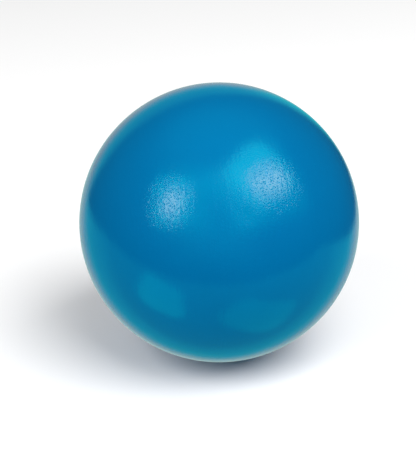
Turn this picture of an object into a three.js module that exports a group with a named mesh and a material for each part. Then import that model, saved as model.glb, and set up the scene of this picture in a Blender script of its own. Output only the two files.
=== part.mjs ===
// Croquet ball: a moulded cork-and-rubber core inside a solid-blue nylon shell.
// The shell is two half shells, keyed together by a tongue and groove at the ball's middle,
// welded there and then turned true on a lathe, so the joint lies flush among the turning marks.
// Millimetres, +Z up. The origin is the ball's centre, and the lathe axis is X.

import * as THREE from 'three';

// Driving dimensions
const BALL_DIAMETER = 92.075; // 3 5/8 inches
const SHELL_WALL = 9.5;
const BOND_LINE = 0.3; // adhesive between the core and the shells
const FIT_GAP = 0.3; // clearance inside the tongue and groove

const TONGUE_RADIUS = 41.3; // middle of the tongue
const TONGUE_THICKNESS = 3.0;
const TONGUE_HEIGHT = 4.0;
const TONGUE_CHAMFER = 0.5;

const RIDGE_HEIGHT = 0.8; // the core's parting ridge, where its mould closed
const RIDGE_FOOT = 1.5; // half of its width at the foot
const RIDGE_CREST = 0.6; // half of its width at the crest

const SHELL_SEGMENTS = 64; // round the lathe axis
const OUTER_STEPS = 16; // from pole to joint
const CAVITY_STEPS = 12;
const CORE_SEGMENTS = 48;
const CORE_STEPS = 12;

// Worked out from the driving dimensions
const BALL_RADIUS = BALL_DIAMETER / 2;
const CAVITY_RADIUS = BALL_RADIUS - SHELL_WALL;
const CORE_RADIUS = CAVITY_RADIUS - BOND_LINE;
const TONGUE_INSIDE = TONGUE_RADIUS - TONGUE_THICKNESS / 2;
const TONGUE_OUTSIDE = TONGUE_RADIUS + TONGUE_THICKNESS / 2;
const RELIEF_RADIUS = CORE_RADIUS + RIDGE_HEIGHT + 2 * FIT_GAP;
const RELIEF_MOUTH = RIDGE_FOOT + FIT_GAP; // half of the relief's width at the cavity

const shellNylon = new THREE.MeshStandardMaterial({ color: 0x007db7, roughness: 0.28, metalness: 0 });
const corkRubber = new THREE.MeshStandardMaterial({ color: 0x6b4a30, roughness: 0.9, metalness: 0 });

// A point of an outline: its distance from the lathe axis, then its place along that axis.
const at = (radius, along) => new THREE.Vector2(radius, along);

// Points on a sphere's outline, at angles measured from the pole.
function arc(sphereRadius, fromAngle, toAngle, steps) {
  return Array.from({ length: steps + 1 }, (_, i) => {
    const angle = THREE.MathUtils.lerp(fromAngle, toAngle, i / steps);
    return at(sphereRadius * Math.sin(angle), sphereRadius * Math.cos(angle));
  });
}

// A solid turned about the X axis. Its outline runs from the axis, round the outside, back to the axis.
function turned(name, outline, segments, material) {
  const anticlockwise = outline.reverse();
  const geometry = new THREE.LatheGeometry(anticlockwise, segments);
  geometry.rotateZ(-Math.PI / 2);
  const mesh = new THREE.Mesh(geometry, material);
  mesh.name = name;
  return mesh;
}

// One half of the shell, with its pole at +X. joint is the outline across its rim, from outside to
// inside. Beyond it, a relief clears the core's parting ridge.
function halfShell(name, joint) {
  const reliefAngle = Math.acos(RELIEF_MOUTH / CAVITY_RADIUS);
  const outline = [
    ...arc(BALL_RADIUS, 0, Math.PI / 2, OUTER_STEPS),
    ...joint,
    at(RELIEF_RADIUS, RIDGE_FOOT),
    ...arc(CAVITY_RADIUS, reliefAngle, 0, CAVITY_STEPS),
  ];
  return turned(name, outline, SHELL_SEGMENTS, shellNylon);
}

// The right half has the groove, and both of its lands lie in the joint plane.
function rightShell() {
  const grooveDepth = TONGUE_HEIGHT + FIT_GAP;
  return halfShell('right_shell', [
    at(TONGUE_OUTSIDE + FIT_GAP, 0),
    at(TONGUE_OUTSIDE + FIT_GAP, grooveDepth),
    at(TONGUE_INSIDE - FIT_GAP, grooveDepth),
    at(TONGUE_INSIDE - FIT_GAP, 0),
    at(RELIEF_RADIUS, 0),
  ]);
}

// The left half has the tongue. Its outer land seats on the right half's, and its inner land
// stands back from it, which leaves room for weld flash. It is turned end for end to face it.
function leftShell() {
  const tipShoulder = TONGUE_HEIGHT - TONGUE_CHAMFER;
  const shell = halfShell('left_shell', [
    at(TONGUE_OUTSIDE, 0),
    at(TONGUE_OUTSIDE, -tipShoulder),
    at(TONGUE_OUTSIDE - TONGUE_CHAMFER, -TONGUE_HEIGHT),
    at(TONGUE_INSIDE + TONGUE_CHAMFER, -TONGUE_HEIGHT),
    at(TONGUE_INSIDE, -tipShoulder),
    at(TONGUE_INSIDE, FIT_GAP),
    at(RELIEF_RADIUS, FIT_GAP),
  ]);
  shell.rotation.z = Math.PI;
  return shell;
}

// A ball with its parting ridge round the middle.
function core() {
  const ridgeAngle = Math.acos(RIDGE_FOOT / CORE_RADIUS);
  const rightSide = [
    ...arc(CORE_RADIUS, 0, ridgeAngle, CORE_STEPS),
    at(CORE_RADIUS + RIDGE_HEIGHT, RIDGE_CREST),
  ];
  const leftSide = rightSide.map((point) => at(point.x, -point.y)).reverse();
  return turned('cork_core', [...rightSide, ...leftSide], CORE_SEGMENTS, corkRubber);
}

const ball = new THREE.Group();
ball.add(core(), leftShell(), rightShell());

export default ball;
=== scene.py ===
"""Looks for the croquet ball: its glossy blue shell, its cork core, the studio and the camera."""

import math

import bpy
import numpy as np
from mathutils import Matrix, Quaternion, Vector


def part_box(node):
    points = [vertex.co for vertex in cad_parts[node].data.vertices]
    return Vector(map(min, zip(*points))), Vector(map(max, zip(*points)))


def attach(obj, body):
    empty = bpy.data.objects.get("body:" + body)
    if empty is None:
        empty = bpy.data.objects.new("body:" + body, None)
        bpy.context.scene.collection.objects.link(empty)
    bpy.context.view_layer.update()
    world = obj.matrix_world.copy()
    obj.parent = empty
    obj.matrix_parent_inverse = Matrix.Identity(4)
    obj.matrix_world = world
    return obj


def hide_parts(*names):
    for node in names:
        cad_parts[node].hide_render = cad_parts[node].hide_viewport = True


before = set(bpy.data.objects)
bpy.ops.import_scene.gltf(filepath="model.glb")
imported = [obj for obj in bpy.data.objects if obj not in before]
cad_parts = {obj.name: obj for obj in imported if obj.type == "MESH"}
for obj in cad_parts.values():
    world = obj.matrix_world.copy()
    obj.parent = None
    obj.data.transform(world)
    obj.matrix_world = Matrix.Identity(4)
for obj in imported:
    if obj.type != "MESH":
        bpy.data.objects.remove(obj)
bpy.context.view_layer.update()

# Sizes in metres, from the CAD frame and from part.mjs
MM = 0.001
BALL_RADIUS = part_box("right_shell")[1].x
CORE_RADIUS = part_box("cork_core")[1].x
RIDGE_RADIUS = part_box("cork_core")[1].z
TONGUE_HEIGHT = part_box("left_shell")[1].x
BOND_LINE = 0.3 * MM
FIT_GAP = 0.3 * MM
TONGUE_RADIUS = 41.3 * MM
TONGUE_THICKNESS = 3.0 * MM
TONGUE_CHAMFER = 0.5 * MM
RIDGE_FOOT = 1.5 * MM
RIDGE_CREST = 0.6 * MM

BALL_RADIUS_MM = BALL_RADIUS / MM
CAVITY_RADIUS = CORE_RADIUS + BOND_LINE
RELIEF_RADIUS = RIDGE_RADIUS + 2 * FIT_GAP
RELIEF_MOUTH = RIDGE_FOOT + FIT_GAP
TONGUE_INSIDE = TONGUE_RADIUS - TONGUE_THICKNESS / 2
TONGUE_OUTSIDE = TONGUE_RADIUS + TONGUE_THICKNESS / 2

# How fine the visible meshes are
SHELL_SEGMENTS = 256
OUTER_STEPS = 330
CAVITY_STEPS = 24
CORE_SEGMENTS = 224
CORE_STEPS = 90
CREASE_DEGREES = 30
SKIN_TOLERANCE = 0.01 * MM

# The worn skin's shape, in millimetres. Each set of waves is a length between crests and a count.
SEED = 12
WAVE_LENGTH_RANGE = (0.7, 1.4)
SWELL_WAVES = (11.0, 24)
SWELL_DEPTH = 0.02
MARK_PITCH = 1.17
MARK_DEPTH = 0.006
MARK_WANDER_RADIANS = 1.5
WANDER_WAVES = (14.0, 9)
BREAK_WAVES = (4.0, 15)
BREAK_SQUASH = (1, 0.45, 0.45)
DENT_COUNT = 60
DENT_WIDTHS = (0.7, 1.9)
DENT_DEPTHS = (0.008, 0.03)
# The one dent that is given: azimuth and elevation, width and depth
FRONT_DENT_PLACE = (11, 27)
FRONT_DENT_WIDTH = 2.6
FRONT_DENT_DEPTH = 0.13
# The core's rough surface, in millimetres
GRAIN_WAVES = (3.2, 40)
LUMP_WAVES = (9.0, 20)
GRAIN_DEPTH = 0.12

# The nylon. Heights and depths are in millimetres. Each noise is bumps in a unit of its position,
# which is a millimetre except in the streaks, then detail and roughness. Each range is the part of the
# noise over which its effect sets in.
NYLON_BLUES = ((0.0, 0.110, 0.263, 1), (0.0, 0.120, 0.284, 1))
FADE_NOISE = (0.05, 3.0, 0.6)
NYLON_IOR = 1.5
NYLON_GLOSS_TINT = (0.5, 1.0, 1.0, 1.0)
NYLON_ROUGHNESS = (0.115, 0.15)
POLISH_NOISE = (0.15, 4.0, 0.6)
POLISH_RANGE = (0.3, 0.7)
PEEL_NOISE = (1.5, 2.0, 0.6)
PEEL_HEIGHT = 0.05
STREAK_NOISE = (1.0, 1.0, 0.5)
STREAK_RANGE = (0.5, 0.7)
STREAKS_IN_MILLIMETRE = 0.9
STREAKS_IN_RADIAN = 8.0
STREAK_HEIGHT = 0.06
STREAK_DULLNESS = 0.11
PIT_SCALE = 1.65
PIT_FLOOR = 0.05
PIT_REACH = 0.42
PIT_DEPTH = 0.05
SPECK_NOISE = (2.0, 1.0, 0.5)
SPECK_RANGE = (0.58, 0.68)
SPECK_DULLNESS = 0.2
# Where the skin is scuffed: azimuth, elevation, reach in degrees, and strength
SCUFFS = (
    (-23, 31, 14, 0.9),
    (29, 37, 15, 1.0),
    (8, 22, 24, 0.4),
    (160, 20, 30, 0.8),
    (-110, -10, 26, 0.8),
    (80, -25, 22, 0.7),
)
# The share of the peel and the streaks that the skin keeps where it isn't scuffed
LEAST_SCUFF = 0.6

# The cork core
CORK_BROWNS = ((0.075, 0.03, 0.012, 1), (0.30, 0.155, 0.07, 1))
FLECK_BROWN = (0.045, 0.02, 0.01, 1)
FLECK_NOISE = (1.6, 2.0)
FLECK_RANGE = (0.55, 0.7)
BINDER_BROWN = (0.035, 0.017, 0.010, 1)
BINDER_ROUGHNESS = 0.7
BINDER_RECESS = 0.12
BINDER_EDGE = (0.48, 0.68)
GRANULE_SCALE = 0.42
GRANULE_ROUGHNESS = 0.92
GRANULE_NOISE = (1.3, 3.0)
GRANULE_RELIEF = 0.08
BEND_SCALE = 0.5
CORK_SPECULAR = 0.35

# The view. The ball's width and its place off the frame's centre are shares of the frame's height.
CAMERA_AZIMUTH = -12
CAMERA_ELEVATION = 25
CAMERA_LENS = 150
SENSOR_SIZE = 36
VIEW_DEPTH = 20
BALL_WIDTH = 0.5882
BALL_RIGHT = 0.0233
BALL_UP = 0.033

# The lamps that light it: azimuth, elevation, width, height and radiance
KEY_LIGHTS = {
    "left_key": (-48, 34, 34, 40, 5.0),
    "right_key": (52, 54, 56, 46, 5.2),
}
# What the ball reflects: azimuth, elevation, width, height, roll, edge, and red, green and blue radiance
REFLECTED = {
    "left_softbox": (-49, 34, 31, 36, -22, 0.12, (0.1, 3.2, 3.0)),
    "left_lamp": (-47, 33, 14, 20, -4, 0.1, (9.6, 3.0, 2.5)),
    "left_haze": (-38, 38, 44, 46, -22, 0.5, (0.0, 1.2, 1.15)),
    "right_softbox": (61, 54, 46, 43, -3, 0.1, (0.1, 2.4, 2.2)),
    "right_lamp": (60, 47, 30, 26, 10, 0.1, (4.6, 0.9, 0.6)),
    "right_lamp_core": (65, 45, 28, 10, 18, 0.3, (5.2, 2.3, 1.8)),
    "right_haze": (50, 48, 60, 52, 0, 0.4, (0.0, 2.3, 2.2)),
    "haze_between": (-6, 30, 56, 60, 0, 0.5, (0.0, 0.66, 0.64)),
    "left_softbox_in_table": (-54, -41, 31, 30, 30, 0.1, (0.0, 1.2, 1.15)),
    "right_softbox_in_table": (46, -58, 46, 28, 10, 0.1, (0.0, 0.7, 0.67)),
}
STUDIO = (0.02, 0.05, 0.05, 1)
CEILING = (0.04, 0.42, 0.41, 1)
CEILING_EDGE = (0.6, 0.95)
# Heights in the studio are sines of elevations.
TABLE = (0.06, 0.68, 0.64, 1)
TABLE_FAR_EDGE = -0.23
TABLE_NEAR_DROP = 0.24
TABLE_RIGHT_DROP = 0.3
TABLE_SOFTNESS = 0.04
TABLE_BEHIND = (0.06, 0.90, 0.86, 1)
TABLE_BEHIND_EDGE = (-0.26, -0.1)
BACKDROP = (0.06, 0.74, 0.70, 1)
BACKDROP_TURN = 12
BACKDROP_EDGE = (0.82, 0.91)
BACKDROP_FADE = (-0.1, 0.8)
BACKDROP_LEAST = 0.4
# What the table and backdrop straight behind the ball add to its rim
GLARE = (0.50, -0.12, -0.15)
GLARE_EDGE = (0.79, 0.95)
GLARE_WIDENING = 0.12
GLARE_RIGHT_EDGE = (0.04, 0.18)
AMBIENT = (0.25, 0.25, 0.25, 1)
SEEN_BACKGROUND = (0.95, 0.95, 0.95, 1)
FLOOR_BOUNCE = (0, 0.55, 0.65, 1)
FLOOR_SEEN = (0.88, 0.88, 0.88, 1)
FLOOR_REACH = 4


def direction(azimuth, elevation):
    """Unit vector from the ball's centre. Azimuth counts from the camera's side, + to its right."""
    a, e = math.radians(azimuth + CAMERA_AZIMUTH), math.radians(elevation)
    return Vector((math.sin(a) * math.cos(e), -math.cos(a) * math.cos(e), math.sin(e)))


# ---------------------------------------------------------------- meshes

def arc(radius, start, stop, steps):
    """Points (distance from the axis, place along it) on a sphere, at angles from the pole."""
    angles = np.linspace(start, stop, steps + 1)
    return np.column_stack([radius * np.sin(angles), radius * np.cos(angles)])


def turned_points(outline, segments):
    """The points of an outline that starts and ends on the X axis, carried round it."""
    turn = np.arange(segments) * 2 * math.pi / segments
    rings = outline[1:-1]
    points = np.empty((len(rings), segments, 3))
    points[:, :, 0] = rings[:, 1:2]
    points[:, :, 1] = rings[:, :1] * np.cos(turn)
    points[:, :, 2] = rings[:, :1] * np.sin(turn)
    return np.vstack([points.reshape(-1, 3), [outline[0][1], 0, 0], [outline[-1][1], 0, 0]])


def turned_faces(rings, segments):
    """Quads between the rings, and a fan at each pole."""
    here = np.arange(segments)
    after = (here + 1) % segments
    faces = []
    for ring in range(rings - 1):
        a, b = ring * segments, (ring + 1) * segments
        faces += np.column_stack([a + here, b + here, b + after, a + after]).tolist()
    first, last, end = rings * segments, rings * segments + 1, (rings - 1) * segments
    faces += [(first, i, j) for i, j in zip(here.tolist(), after.tolist())]
    faces += [(last, end + j, end + i) for i, j in zip(here.tolist(), after.tolist())]
    return faces


def linked(name, data):
    """A new object in the scene."""
    thing = bpy.data.objects.new(name, data)
    bpy.context.scene.collection.objects.link(thing)
    return thing


def solid(name, points, faces):
    mesh = bpy.data.meshes.new(name)
    mesh.from_pydata(points.tolist(), [], faces)
    mesh.validate()
    mesh.shade_smooth()
    mesh.set_sharp_from_angle(angle=math.radians(CREASE_DEGREES))
    return linked(name, mesh)


def waves(points, length, count, seed):
    """Smooth random swell from -1 to 1, with crests about `length` apart."""
    draw = np.random.default_rng(seed)
    ways = draw.normal(size=(count, 3))
    ways /= np.linalg.norm(ways, axis=1, keepdims=True)
    pace = 2 * math.pi / (length * draw.uniform(*WAVE_LENGTH_RANGE, count))
    start = draw.uniform(0, 2 * math.pi, count)
    total = np.zeros(len(points))
    for way, rate, phase in zip(ways, pace, start):
        total += np.cos(points @ way * rate + phase)
    # The sum's spread is the root of half the count, and twice that becomes 1.
    return np.clip(total / math.sqrt(count / 2) / 2, -1, 1)


def turning_marks(points):
    """Faint broken grooves round the lathe axis."""
    along = np.arcsin(np.clip(points[:, 0] * MM / BALL_RADIUS, -1, 1)) * BALL_RADIUS / MM
    wander = waves(points, *WANDER_WAVES, SEED + 1) * MARK_WANDER_RADIANS
    groove = 0.5 + 0.5 * np.cos(2 * math.pi * along / MARK_PITCH + wander)
    strength = np.clip(0.5 + waves(points * BREAK_SQUASH, *BREAK_WAVES, SEED + 2), 0, 1)
    return MARK_DEPTH * groove * strength


def dents(points):
    """Shallow knocks from mallets and hoops. The first is left of and below the right highlight."""
    draw = np.random.default_rng(SEED + 3)
    places = draw.normal(size=(DENT_COUNT, 3))
    places /= np.linalg.norm(places, axis=1, keepdims=True)
    places[0] = direction(*FRONT_DENT_PLACE)
    widths = draw.uniform(*DENT_WIDTHS, DENT_COUNT)
    depths = draw.uniform(*DENT_DEPTHS, DENT_COUNT)
    widths[0] = FRONT_DENT_WIDTH
    depths[0] = FRONT_DENT_DEPTH
    total = np.zeros(len(points))
    for place, width, depth in zip(places, widths, depths):
        gap = np.linalg.norm(points - place * BALL_RADIUS / MM, axis=1) / width
        total += depth * np.exp(-gap ** 2)
    return total


def wear(points):
    """Presses the points on the true sphere in by the swell, the turning marks and the dents."""
    distance = np.linalg.norm(points, axis=1)
    skin = distance > BALL_RADIUS - SKIN_TOLERANCE
    place = points[skin] / MM
    depth = SWELL_DEPTH * (1 + waves(place, *SWELL_WAVES, SEED)) / 2
    depth += turning_marks(place) + dents(place)
    points[skin] *= (1 - depth * MM / distance[skin])[:, None]
    return points


def half_shell(name, joint, turned_round):
    """One half: the skin from its pole to the joint, the joint's own step, and the cavity."""
    relief_angle = math.acos(RELIEF_MOUTH / CAVITY_RADIUS)
    outline = np.vstack([
        arc(BALL_RADIUS, 0, math.pi / 2, OUTER_STEPS),
        joint,
        [(RELIEF_RADIUS, RIDGE_FOOT)],
        arc(CAVITY_RADIUS, relief_angle, 0, CAVITY_STEPS),
    ])
    points = turned_points(outline, SHELL_SEGMENTS)
    if turned_round:
        points[:, :2] *= -1
    return solid(name, wear(points), turned_faces(len(outline) - 2, SHELL_SEGMENTS))


def core_ball():
    """The cork and rubber core, with the flash ridge that its mould leaves at the middle."""
    foot = math.acos(RIDGE_FOOT / CORE_RADIUS)
    outline = np.vstack([
        arc(CORE_RADIUS, 0, foot, CORE_STEPS),
        [(RIDGE_RADIUS, RIDGE_CREST), (RIDGE_RADIUS, -RIDGE_CREST)],
        arc(CORE_RADIUS, math.pi - foot, math.pi, CORE_STEPS),
    ])
    points = turned_points(outline, CORE_SEGMENTS)
    place = points / MM
    grain = 0.5 + 0.25 * (waves(place, *GRAIN_WAVES, SEED + 4) + waves(place, *LUMP_WAVES, SEED + 5))
    points *= (1 - GRAIN_DEPTH * grain * MM / CORE_RADIUS)[:, None]
    return solid("granule_core", points, turned_faces(len(outline) - 2, CORE_SEGMENTS))


right = half_shell("right_half_shell", [
    (TONGUE_OUTSIDE + FIT_GAP, 0),
    (TONGUE_OUTSIDE + FIT_GAP, TONGUE_HEIGHT + FIT_GAP),
    (TONGUE_INSIDE - FIT_GAP, TONGUE_HEIGHT + FIT_GAP),
    (TONGUE_INSIDE - FIT_GAP, 0),
    (RELIEF_RADIUS, 0),
], turned_round=False)
left = half_shell("left_half_shell", [
    (TONGUE_OUTSIDE, 0),
    (TONGUE_OUTSIDE, TONGUE_CHAMFER - TONGUE_HEIGHT),
    (TONGUE_OUTSIDE - TONGUE_CHAMFER, -TONGUE_HEIGHT),
    (TONGUE_INSIDE + TONGUE_CHAMFER, -TONGUE_HEIGHT),
    (TONGUE_INSIDE, TONGUE_CHAMFER - TONGUE_HEIGHT),
    (TONGUE_INSIDE, FIT_GAP),
    (RELIEF_RADIUS, FIT_GAP),
], turned_round=True)
core = core_ball()


# ---------------------------------------------------------------- materials

class Nodes:
    """Short names for shader nodes."""

    def __init__(self, tree):
        self.tree = tree

    def add(self, kind, inputs=(), **settings):
        node = self.tree.nodes.new(kind)
        for key, value in settings.items():
            setattr(node, key, value)
        for key, value in dict(inputs).items():
            self.feed(node.inputs[key], value)
        return node

    def feed(self, socket, value):
        if isinstance(value, bpy.types.NodeSocket):
            self.tree.links.new(value, socket)
        else:
            socket.default_value = value

    def math(self, operation, a, b=0.0, c=0.0):
        return self.add("ShaderNodeMath", {0: a, 1: b, 2: c}, operation=operation).outputs[0]

    def vector(self, x, y, z):
        return self.add("ShaderNodeCombineXYZ", {0: x, 1: y, 2: z}).outputs[0]

    def add_vectors(self, a, b):
        return self.add("ShaderNodeVectorMath", {0: a, 1: b}, operation="ADD").outputs[0]

    def scaled(self, vector, scale):
        return self.add("ShaderNodeVectorMath", {0: vector, "Scale": scale}, operation="SCALE").outputs[0]

    def dot(self, a, b):
        node = self.add("ShaderNodeVectorMath", {0: a, 1: b}, operation="DOT_PRODUCT")
        return node.outputs["Value"]

    def noise(self, position, scale, detail=2.0, roughness=0.5):
        """Smooth noise from 0 to 1, with about `scale` bumps in each unit of position."""
        inputs = {"Vector": position, "Scale": scale, "Detail": detail, "Roughness": roughness}
        return self.add("ShaderNodeTexNoise", inputs).outputs[0]

    def noise_color(self, position, scale):
        return self.add("ShaderNodeTexNoise", {"Vector": position, "Scale": scale}).outputs["Color"]

    def cells(self, position, scale):
        """Distance from the nearest of scattered points, and a colour of each point's own."""
        node = self.add("ShaderNodeTexVoronoi", {"Vector": position, "Scale": scale, "Randomness": 1.0})
        return node.outputs["Distance"], node.outputs["Color"]

    def spread(self, value, low, high, to_low=0.0, to_high=1.0):
        """Maps low..high to to_low..to_high smoothly, and stays level beyond them."""
        inputs = {"Value": value, "From Min": low, "From Max": high, "To Min": to_low, "To Max": to_high}
        node = self.add("ShaderNodeMapRange", inputs, interpolation_type="SMOOTHSTEP")
        return node.outputs["Result"]

    def mix_color(self, factor, a, b):
        node = self.add("ShaderNodeMix", data_type="RGBA")
        self.feed(node.inputs[0], factor)
        self.feed(node.inputs[6], a)
        self.feed(node.inputs[7], b)
        return node.outputs[2]

    def millimetres(self):
        """The piece's own position, in millimetres."""
        return self.scaled(self.add("ShaderNodeTexCoord").outputs["Object"], 1 / MM)

    def bump(self, height_mm):
        return self.add("ShaderNodeBump", {"Height": height_mm, "Distance": MM, "Strength": 1.0}).outputs[0]


def new_material(name):
    material = bpy.data.materials.new(name)
    material.use_nodes = True
    n = Nodes(material.node_tree)
    return material, n, n.tree.nodes["Principled BSDF"].inputs


def turning_streaks(n, place):
    """Noise drawn out round the lathe axis."""
    split = n.add("ShaderNodeSeparateXYZ", {0: place}).outputs
    # along: arc length from the joint. ring_y and ring_z: the place round the lathe axis.
    along = n.math("MULTIPLY", n.math("ARCSINE", n.math("DIVIDE", split[0], BALL_RADIUS_MM)), BALL_RADIUS_MM)
    ring = n.math("SQRT", n.math("ADD", n.math("POWER", split[1], 2.0), n.math("POWER", split[2], 2.0)))
    ring_y = n.math("DIVIDE", split[1], ring)
    ring_z = n.math("DIVIDE", split[2], ring)
    drawn_out = n.vector(
        n.math("MULTIPLY", along, STREAKS_IN_MILLIMETRE),
        n.math("MULTIPLY", ring_y, STREAKS_IN_RADIAN),
        n.math("MULTIPLY", ring_z, STREAKS_IN_RADIAN),
    )
    return n.noise(drawn_out, *STREAK_NOISE)


def scuffing(n, place):
    """How scuffed the skin is: up to 1 in the zones of SCUFFS, full within half their reach."""
    scuffed = 0.0
    for azimuth, elevation, reach, strength in SCUFFS:
        nearness = n.dot(place, direction(azimuth, elevation) / BALL_RADIUS_MM)
        near, far = math.cos(math.radians(reach * 0.5)), math.cos(math.radians(reach))
        scuffed = n.math("MAXIMUM", scuffed, n.spread(nearness, far, near, 0.0, strength))
    return scuffed


def nylon():
    """Blue moulded nylon: slight orange peel, broken turning marks, and pits and specks in the scuffs."""
    material, n, shader = new_material("blue_nylon")
    place = n.millimetres()
    streaks = turning_streaks(n, place)
    scuffed = scuffing(n, place)

    gap, _ = n.cells(place, PIT_SCALE)
    pit = n.spread(gap, PIT_FLOOR, PIT_REACH, 1.0, 0.0)
    height = n.math("MULTIPLY", n.noise(place, *PEEL_NOISE), PEEL_HEIGHT)
    height = n.math("MULTIPLY_ADD", streaks, STREAK_HEIGHT, height)
    height = n.math("MULTIPLY", height, n.math("MULTIPLY_ADD", scuffed, 1 - LEAST_SCUFF, LEAST_SCUFF))
    height = n.math("MULTIPLY_ADD", n.math("MULTIPLY", pit, scuffed), -PIT_DEPTH, height)

    # The gloss is lost in specks and along the turning marks where the skin is scuffed.
    speck = n.spread(n.noise(place, *SPECK_NOISE), *SPECK_RANGE)
    line = n.spread(streaks, *STREAK_RANGE)
    dull = n.math("MULTIPLY_ADD", speck, SPECK_DULLNESS, n.math("MULTIPLY", line, STREAK_DULLNESS))
    rough = n.spread(n.noise(place, *POLISH_NOISE), *POLISH_RANGE, *NYLON_ROUGHNESS)

    n.feed(shader["Base Color"], n.mix_color(n.noise(place, *FADE_NOISE), *NYLON_BLUES))
    n.feed(shader["Roughness"], n.math("MULTIPLY_ADD", dull, scuffed, rough))
    n.feed(shader["Normal"], n.bump(height))
    shader["IOR"].default_value = NYLON_IOR
    # The gloss over this blue looks cyan face on, and white towards the rim.
    shader["Specular Tint"].default_value = NYLON_GLOSS_TINT
    return material


def cork_rubber():
    """Ground cork in brown rubber: granules of mixed browns in a darker binder."""
    material, n, shader = new_material("cork_rubber")
    place = n.millimetres()
    gap, own = n.cells(n.add_vectors(place, n.noise_color(place, BEND_SCALE)), GRANULE_SCALE)
    shade = n.add("ShaderNodeSeparateColor", {0: own}).outputs[0]
    fleck = n.spread(n.noise(place, *FLECK_NOISE), *FLECK_RANGE)
    granule = n.mix_color(fleck, n.mix_color(shade, *CORK_BROWNS), FLECK_BROWN)
    binder = n.spread(gap, *BINDER_EDGE)
    height = n.math("MULTIPLY", binder, -BINDER_RECESS)
    height = n.math("MULTIPLY_ADD", n.noise(place, *GRANULE_NOISE), GRANULE_RELIEF, height)
    n.feed(shader["Base Color"], n.mix_color(binder, granule, BINDER_BROWN))
    n.feed(shader["Roughness"], n.spread(binder, 0, 1, GRANULE_ROUGHNESS, BINDER_ROUGHNESS))
    n.feed(shader["Normal"], n.bump(height))
    shader["Specular IOR Level"].default_value = CORK_SPECULAR
    return material


shell_material = nylon()
for piece, node in ((right, "right_shell"), (left, "left_shell")):
    piece.data.materials.append(shell_material)
    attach(piece, "root")
    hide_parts(node)
core.data.materials.append(cork_rubber())
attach(core, "root")
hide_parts("cork_core")


# ---------------------------------------------------------------- camera

def face(thing, target):
    """Turns a camera or a lamp to look at the target."""
    thing.rotation_mode = "QUATERNION"
    thing.rotation_quaternion = (target - thing.location).to_track_quat("-Z", "Y")


def add_camera():
    """The ball fills its share of the frame, a little right of the frame's centre and above it."""
    data = bpy.data.cameras.new("camera")
    data.lens = CAMERA_LENS
    data.sensor_width = SENSOR_SIZE
    data.clip_end = VIEW_DEPTH
    half_angle = math.atan(BALL_WIDTH / 2 * SENSOR_SIZE / CAMERA_LENS)
    distance = BALL_RADIUS / math.sin(half_angle)
    frame_height = SENSOR_SIZE / CAMERA_LENS * distance
    back = direction(0, CAMERA_ELEVATION)
    right_way = direction(90, 0)
    up_way = back.cross(right_way)
    camera = linked("camera", data)
    camera.location = back * distance
    face(camera, (-right_way * BALL_RIGHT - up_way * BALL_UP) * frame_height)
    bpy.context.scene.camera = camera


# ---------------------------------------------------------------- studio

def key_light(name, azimuth, elevation, width, height, radiance):
    """A white area light facing the ball. width and height are the angles it covers, in degrees."""
    data = bpy.data.lights.new(name, "AREA")
    data.shape = "RECTANGLE"
    data.size = 2 * math.tan(math.radians(width / 2))
    data.size_y = 2 * math.tan(math.radians(height / 2))
    data.energy = radiance * data.size * data.size_y * math.pi
    light = linked(name, data)
    light.location = direction(azimuth, elevation)
    face(light, Vector())
    light.visible_camera = light.visible_glossy = False


def patch(n, look, azimuth, elevation, width, height, roll, edge):
    """1 inside a soft-edged window of the studio as the ball reflects it, and 0 outside."""
    toward = direction(azimuth, elevation)
    level = toward.cross(Vector((0, 0, 1))).normalized()
    turn = Quaternion(toward, -math.radians(roll))
    side, top = turn @ level, turn @ level.cross(toward)
    across = n.math("ABSOLUTE", n.dot(look, side / math.sin(math.radians(width / 2))))
    up = n.math("ABSOLUTE", n.dot(look, top / math.sin(math.radians(height / 2))))
    # The fourth powers make a rectangle with well rounded corners.
    reach = n.math("ADD", n.math("POWER", across, 4.0), n.math("POWER", up, 4.0))
    window = n.spread(n.math("POWER", reach, 0.25), 1 - edge, 1 + edge, 1.0, 0.0)
    this_side = n.spread(n.dot(look, toward), 0.0, 0.1)
    return n.math("MULTIPLY", window, this_side)


def table_share(n, height, front, side):
    """1 where the ball reflects the table. Its far edge is high, and lower at the right."""
    edge = n.math("MULTIPLY_ADD", n.math("MAXIMUM", front, 0.0), -TABLE_NEAR_DROP, TABLE_FAR_EDGE)
    right_back = n.math("MULTIPLY", n.math("MAXIMUM", side, 0.0), n.math("MINIMUM", front, 0.0))
    edge = n.math("MULTIPLY_ADD", right_back, TABLE_RIGHT_DROP, edge)
    return n.spread(n.math("SUBTRACT", height, edge), -TABLE_SOFTNESS, TABLE_SOFTNESS, 1.0, 0.0)


def backdrop_share(n, look, height):
    """The backdrop stands behind the ball, a little to its left, and fades upwards."""
    middle = n.spread(n.dot(look, -direction(BACKDROP_TURN, 0)), *BACKDROP_EDGE)
    return n.math("MULTIPLY", middle, n.spread(height, *BACKDROP_FADE, 1.0, BACKDROP_LEAST))


def glare_share(n, look, side, table, backdrop):
    """The table and the backdrop's left part, straight behind the ball as the camera sees it."""
    left_part = n.math("MULTIPLY", backdrop, n.spread(side, *GLARE_RIGHT_EDGE, 1.0, 0.0))
    lit = n.math("MAXIMUM", table, left_part)
    behind = n.dot(look, -direction(0, CAMERA_ELEVATION))
    behind = n.math("MULTIPLY_ADD", n.math("ABSOLUTE", side), GLARE_WIDENING, behind)
    return n.math("MULTIPLY", lit, n.spread(behind, *GLARE_EDGE))


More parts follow.
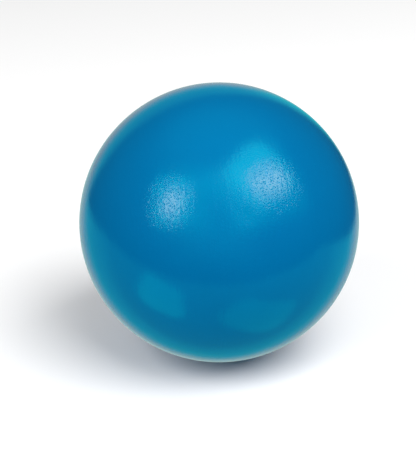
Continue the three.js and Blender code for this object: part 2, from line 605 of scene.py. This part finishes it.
def studio_color(n):
    """What glossy rays meet: a dark room with a ceiling, a table, a backdrop and softboxes."""
    look = n.add("ShaderNodeTexCoord").outputs["Generated"]
    height = n.dot(look, Vector((0, 0, 1)))
    front = n.dot(look, direction(0, 0))
    side = n.dot(look, direction(90, 0))
    table = table_share(n, height, front, side)
    backdrop = backdrop_share(n, look, height)
    table_behind = n.math("MULTIPLY", table, n.spread(front, *TABLE_BEHIND_EDGE, 1.0, 0.0))
    seen = n.mix_color(n.spread(height, *CEILING_EDGE), STUDIO, CEILING)
    seen = n.mix_color(backdrop, seen, BACKDROP)
    seen = n.mix_color(table, seen, TABLE)
    seen = n.mix_color(table_behind, seen, TABLE_BEHIND)
    seen = n.add_vectors(seen, n.scaled(GLARE, glare_share(n, look, side, table, backdrop)))
    for *place, radiance in REFLECTED.values():
        seen = n.add_vectors(seen, n.scaled(radiance, patch(n, look, *place)))
    return seen


def add_world():
    """Soft white light on matt things, the studio in glossy ones and near white behind them."""
    world = bpy.data.worlds.new("studio")
    bpy.context.scene.world = world
    world.use_nodes = True
    # The light path below tells matt from glossy rays only where the world isn't sampled as a lamp.
    world.cycles.sampling_method = "NONE"
    n = Nodes(world.node_tree)
    ray = n.add("ShaderNodeLightPath").outputs
    color = n.mix_color(ray["Is Glossy Ray"], AMBIENT, studio_color(n))
    color = n.mix_color(ray["Is Camera Ray"], color, SEEN_BACKGROUND)
    n.feed(n.tree.nodes["Background"].inputs["Color"], color)


def pale_floor():
    """Near white to the camera. The bounce that it gives the ball is the blue that the ball can show."""
    material, n, shader = new_material("pale_floor")
    ray = n.add("ShaderNodeLightPath").outputs
    n.feed(shader["Base Color"], n.mix_color(ray["Is Camera Ray"], FLOOR_BOUNCE, FLOOR_SEEN))
    shader["Specular IOR Level"].default_value = 0.0
    return material


def add_floor():
    near, far = -FLOOR_REACH, FLOOR_REACH
    corners = [(x, y, -BALL_RADIUS) for x, y in ((near, near), (far, near), (far, far), (near, far))]
    mesh = bpy.data.meshes.new("floor")
    mesh.from_pydata(corners, [], [(0, 1, 2, 3)])
    mesh.materials.append(pale_floor())
    floor = linked("floor", mesh)
    floor.visible_glossy = False


add_camera()
for name, place_and_level in KEY_LIGHTS.items():
    key_light(name, *place_and_level)
add_world()
add_floor()
bpy.context.scene.view_settings.view_transform = "Standard"
